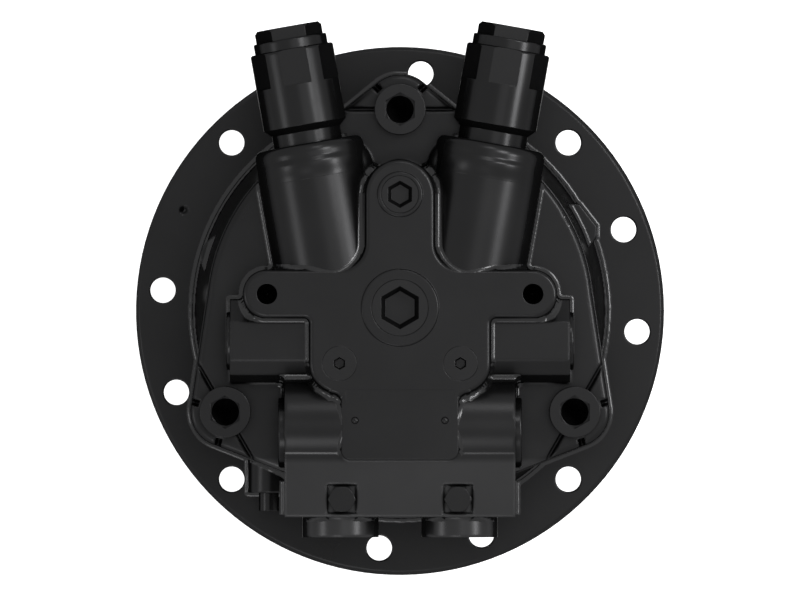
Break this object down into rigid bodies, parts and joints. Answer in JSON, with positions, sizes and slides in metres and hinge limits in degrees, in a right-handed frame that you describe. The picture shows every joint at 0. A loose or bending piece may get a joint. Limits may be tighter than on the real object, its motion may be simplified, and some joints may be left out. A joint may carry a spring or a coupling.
{
  "type": "hydraulic piston motor",
  "caption": "Flange mounted axial piston motor with splined shaft, disc brake, relief and check valves.",
  "frame": {"origin": "centre of the flange mounting face, on the shaft axis", "axes": "+Z from the mounting face up to the valve cover, away from the shaft end; -Y toward the two ports; +Y toward the two relief valves"},
  "size_m": [0.313, 0.3264, 0.3023],
  "materials": {
    "casing_paint": "satin",
    "cover_paint": "satin",
    "valve_black": "satin",
    "casting": "machined",
    "steel": "machined",
    "bronze": "machined",
    "seal_rubber": "matte",
    "friction_lining": "matte"
  },
  "bodies": {
    "housing": {"casing": "casing_paint", "valve_cover": "cover_paint", "cover_seal": "seal_rubber", "cover_screws": "valve_black", "swash_plate": "steel", "valve_plate": "bronze", "locating_pins": "steel", "front_bearing_outer": "steel", "rear_bearing_outer": "steel", "oil_seal": "seal_rubber", "seal_snap_ring": "steel", "separator_plates": "steel", "relief_valve_bodies": "valve_black", "relief_valve_caps": "valve_black", "relief_springs": "steel", "check_valve_plugs": "valve_black", "check_springs": "steel", "gallery_plugs": "valve_black", "centre_plug": "cover_paint", "pad_plugs": "cover_paint", "gauge_plugs": "valve_black", "plate_rivets": "valve_black", "drain_fitting": "valve_black", "casing_port_plug": "valve_black", "brake_springs": "steel"},
    "rotating_group": {"drive_shaft": "steel", "cylinder_block": "steel", "friction_plates": "friction_lining", "thrust_ball": "bronze", "block_spring": "steel", "front_bearing_inner": "steel", "rear_bearing_inner": "steel"},
    "front_roller_set": {"front_bearing_rollers": "steel"},
    "rear_ball_set": {"rear_bearing_balls": "steel"},
    "retainer": {"retainer_plate": "steel"},
    "brake_ring": {"brake_piston": "casting", "brake_piston_seals": "seal_rubber"},
    "relief_poppet_l": {"relief_poppet_left": "steel"},
    "relief_poppet_r": {"relief_poppet_right": "steel"},
    "check_poppet_l": {"check_poppet_left": "steel"},
    "check_poppet_r": {"check_poppet_right": "steel"},
    "shoe_body_1": {"shoe_1": "bronze"},
    "shoe_body_2": {"shoe_2": "bronze"},
    "shoe_body_3": {"shoe_3": "bronze"},
    "shoe_body_4": {"shoe_4": "bronze"},
    "shoe_body_5": {"shoe_5": "bronze"},
    "shoe_body_6": {"shoe_6": "bronze"},
    "shoe_body_7": {"shoe_7": "bronze"},
    "shoe_body_8": {"shoe_8": "bronze"},
    "shoe_body_9": {"shoe_9": "bronze"},
    "piston_body_1": {"piston_1": "steel"},
    "piston_body_2": {"piston_2": "steel"},
    "piston_body_3": {"piston_3": "steel"},
    "piston_body_4": {"piston_4": "steel"},
    "piston_body_5": {"piston_5": "steel"},
    "piston_body_6": {"piston_6": "steel"},
    "piston_body_7": {"piston_7": "steel"},
    "piston_body_8": {"piston_8": "steel"},
    "piston_body_9": {"piston_9": "steel"}
  },
  "joints": [
    {"name": "shaft_spin", "type": "hinge", "parent": "housing", "child": "rotating_group", "pos_m": [0, 0, 0], "axis": [0, 0, 1], "continuous": true},
    {"name": "front_rollers_turn", "type": "hinge", "parent": "housing", "child": "front_roller_set", "pos_m": [0, 0, 0.02], "axis": [0, 0, 1], "continuous": true},
    {"name": "rear_balls_turn", "type": "hinge", "parent": "housing", "child": "rear_ball_set", "pos_m": [0, 0, 0.15], "axis": [0, 0, 1], "continuous": true},
    {"name": "retainer_turn", "type": "hinge", "parent": "housing", "child": "retainer", "pos_m": [0, 0, 0.0644], "axis": [-0.2419, 0, 0.9703], "continuous": true},
    {"name": "shoe_1_turn", "type": "hinge", "parent": "retainer", "child": "shoe_body_1", "pos_m": [0.04236, 0, 0.07496], "axis": [-0.2419, 0, 0.9703], "continuous": true},
    {"name": "piston_1_turn", "type": "hinge", "parent": "shoe_body_1", "child": "piston_body_1", "pos_m": [0.043, 0, 0.07512], "axis": [-0.2419, 0, 0.9703], "continuous": true},
    {"name": "shoe_2_turn", "type": "hinge", "parent": "retainer", "child": "shoe_body_2", "pos_m": [0.03245, 0.02806, 0.07249], "axis": [-0.2419, 0, 0.9703], "continuous": true},
    {"name": "piston_2_turn", "type": "hinge", "parent": "shoe_body_2", "child": "piston_body_2", "pos_m": [0.03294, 0.02764, 0.07261], "axis": [-0.2419, 0, 0.9703], "continuous": true},
    {"name": "shoe_3_turn", "type": "hinge", "parent": "retainer", "child": "shoe_body_3", "pos_m": [0.00736, 0.04299, 0.06623], "axis": [-0.2419, 0, 0.9703], "continuous": true},
    {"name": "piston_3_turn", "type": "hinge", "parent": "shoe_body_3", "child": "piston_body_3", "pos_m": [0.00747, 0.04235, 0.06626], "axis": [-0.2419, 0, 0.9703], "continuous": true},
    {"name": "shoe_4_turn", "type": "hinge", "parent": "retainer", "child": "shoe_body_4", "pos_m": [-0.02118, 0.03781, 0.05912], "axis": [-0.2419, 0, 0.9703], "continuous": true},
    {"name": "piston_4_turn", "type": "hinge", "parent": "shoe_body_4", "child": "piston_body_4", "pos_m": [-0.0215, 0.03724, 0.05904], "axis": [-0.2419, 0, 0.9703], "continuous": true},
    {"name": "shoe_5_turn", "type": "hinge", "parent": "retainer", "child": "shoe_body_5", "pos_m": [-0.03981, 0.01493, 0.05447], "axis": [-0.2419, 0, 0.9703], "continuous": true},
    {"name": "piston_5_turn", "type": "hinge", "parent": "shoe_body_5", "child": "piston_body_5", "pos_m": [-0.04041, 0.01471, 0.05432], "axis": [-0.2419, 0, 0.9703], "continuous": true},
    {"name": "shoe_6_turn", "type": "hinge", "parent": "retainer", "child": "shoe_body_6", "pos_m": [-0.03981, -0.01493, 0.05447], "axis": [-0.2419, 0, 0.9703], "continuous": true},
    {"name": "piston_6_turn", "type": "hinge", "parent": "shoe_body_6", "child": "piston_body_6", "pos_m": [-0.04041, -0.01471, 0.05432], "axis": [-0.2419, 0, 0.9703], "continuous": true},
    {"name": "shoe_7_turn", "type": "hinge", "parent": "retainer", "child": "shoe_body_7", "pos_m": [-0.02118, -0.03781, 0.05912], "axis": [-0.2419, 0, 0.9703], "continuous": true},
    {"name": "piston_7_turn", "type": "hinge", "parent": "shoe_body_7", "child": "piston_body_7", "pos_m": [-0.0215, -0.03724, 0.05904], "axis": [-0.2419, 0, 0.9703], "continuous": true},
    {"name": "shoe_8_turn", "type": "hinge", "parent": "retainer", "child": "shoe_body_8", "pos_m": [0.00736, -0.04299, 0.06623], "axis": [-0.2419, 0, 0.9703], "continuous": true},
    {"name": "piston_8_turn", "type": "hinge", "parent": "shoe_body_8", "child": "piston_body_8", "pos_m": [0.00747, -0.04235, 0.06626], "axis": [-0.2419, 0, 0.9703], "continuous": true},
    {"name": "shoe_9_turn", "type": "hinge", "parent": "retainer", "child": "shoe_body_9", "pos_m": [0.03245, -0.02806, 0.07249], "axis": [-0.2419, 0, 0.9703], "continuous": true},
    {"name": "piston_9_turn", "type": "hinge", "parent": "shoe_body_9", "child": "piston_body_9", "pos_m": [0.03294, -0.02764, 0.07261], "axis": [-0.2419, 0, 0.9703], "continuous": true},
    {"name": "brake_release", "type": "slide", "parent": "housing", "child": "brake_ring", "axis": [0, 0, 1], "range_m": [0, 0.0025], "stiffness_N_per_m": 20000, "springref_m": -0.003, "deforming": ["brake_springs"]},
    {"name": "relief_left_open", "type": "slide", "parent": "housing", "child": "relief_poppet_l", "axis": [-0.1736, 0.9848, 0], "range_m": [0, 0.003], "stiffness_N_per_m": 2000, "springref_m": -0.002, "deforming": ["relief_springs"]},
    {"name": "relief_right_open", "type": "slide", "parent": "housing", "child": "relief_poppet_r", "axis": [0.1736, 0.9848, 0], "range_m": [0, 0.003], "stiffness_N_per_m": 2000, "springref_m": -0.002},
    {"name": "check_left_open", "type": "slide", "parent": "housing", "child": "check_poppet_l", "axis": [-1, 0, 0], "range_m": [0, 0.004], "stiffness_N_per_m": 300, "springref_m": -0.003, "deforming": ["check_springs"]},
    {"name": "check_right_open", "type": "slide", "parent": "housing", "child": "check_poppet_r", "axis": [1, 0, 0], "range_m": [0, 0.004], "stiffness_N_per_m": 300, "springref_m": -0.003}
  ],
  "couplings": [
    {"joint": "front_rollers_turn", "follows": "shaft_spin", "ratio": 0.4145},
    {"joint": "rear_balls_turn", "follows": "shaft_spin", "ratio": 0.4},
    {"joint": "retainer_turn", "follows": "shaft_spin", "ratio": 1},
    {"joint": "shoe_1_turn", "follows": "shaft_spin", "ratio": -2},
    {"joint": "piston_1_turn", "follows": "shaft_spin", "ratio": 1},
    {"joint": "shoe_2_turn", "follows": "shaft_spin", "ratio": -2},
    {"joint": "piston_2_turn", "follows": "shaft_spin", "ratio": 1},
    {"joint": "shoe_3_turn", "follows": "shaft_spin", "ratio": -2},
    {"joint": "piston_3_turn", "follows": "shaft_spin", "ratio": 1},
    {"joint": "shoe_4_turn", "follows": "shaft_spin", "ratio": -2},
    {"joint": "piston_4_turn", "follows": "shaft_spin", "ratio": 1},
    {"joint": "shoe_5_turn", "follows": "shaft_spin", "ratio": -2},
    {"joint": "piston_5_turn", "follows": "shaft_spin", "ratio": 1},
    {"joint": "shoe_6_turn", "follows": "shaft_spin", "ratio": -2},
    {"joint": "piston_6_turn", "follows": "shaft_spin", "ratio": 1},
    {"joint": "shoe_7_turn", "follows": "shaft_spin", "ratio": -2},
    {"joint": "piston_7_turn", "follows": "shaft_spin", "ratio": 1},
    {"joint": "shoe_8_turn", "follows": "shaft_spin", "ratio": -2},
    {"joint": "piston_8_turn", "follows": "shaft_spin", "ratio": 1},
    {"joint": "shoe_9_turn", "follows": "shaft_spin", "ratio": -2},
    {"joint": "piston_9_turn", "follows": "shaft_spin", "ratio": 1}
  ]
}
